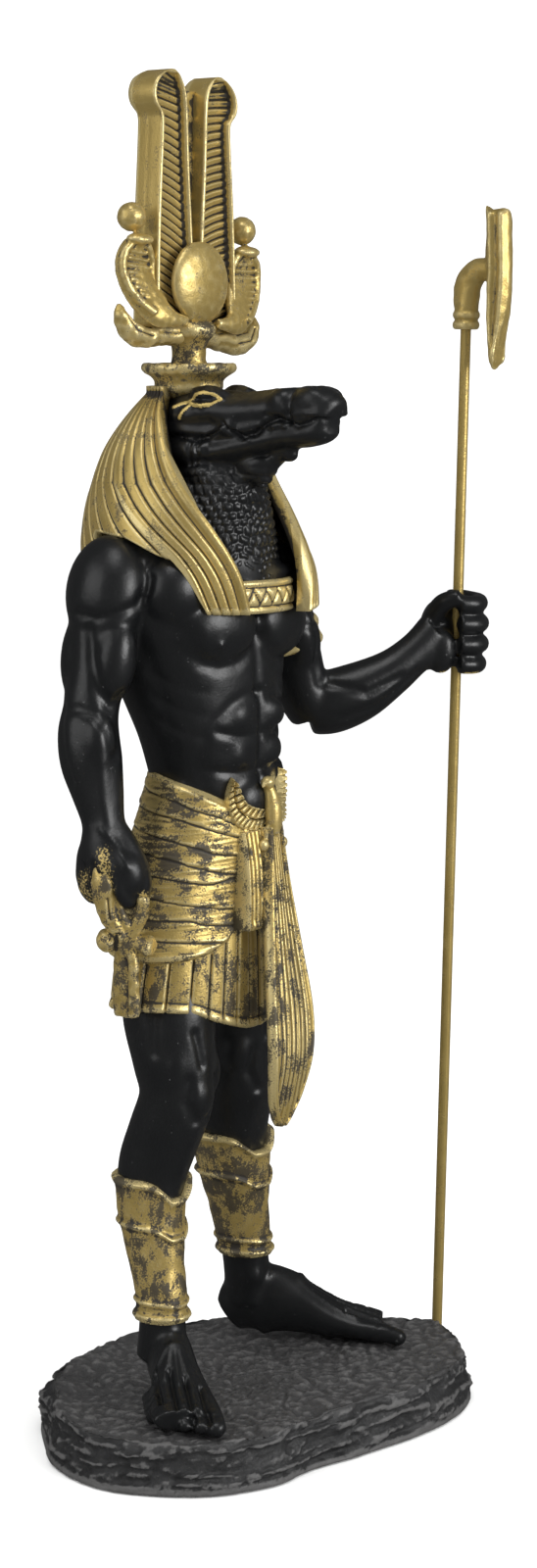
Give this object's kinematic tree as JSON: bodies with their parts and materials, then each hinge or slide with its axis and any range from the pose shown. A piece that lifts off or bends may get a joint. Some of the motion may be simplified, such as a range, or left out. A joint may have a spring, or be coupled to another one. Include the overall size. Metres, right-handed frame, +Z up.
{
  "type": "crocodile-headed figure statuette",
  "caption": "Standing statuette of a man with a crocodile's head, a tall plumed crown, a pleated kilt and a staff, on a rough stone base.",
  "frame": {"origin": "the underside of the base, at its middle, where the statuette stands", "axes": "+Z up; the figure faces -Y and its left side, with the staff, is +X"},
  "size_m": [0.1207, 0.0794, 0.3005],
  "materials": {
    "painted_resin": "satin black resin, with the cloth, crown and greaves in antique gold",
    "gilt_rod": "antique gold, a little rubbed",
    "gold_casting": "antique gold over resin, dark in the hollows"
  },
  "bodies": {
    "root": {"figure": "painted_resin", "staff_rod": "gilt_rod", "staff_head": "gold_casting"}
  },
  "joints": []
}
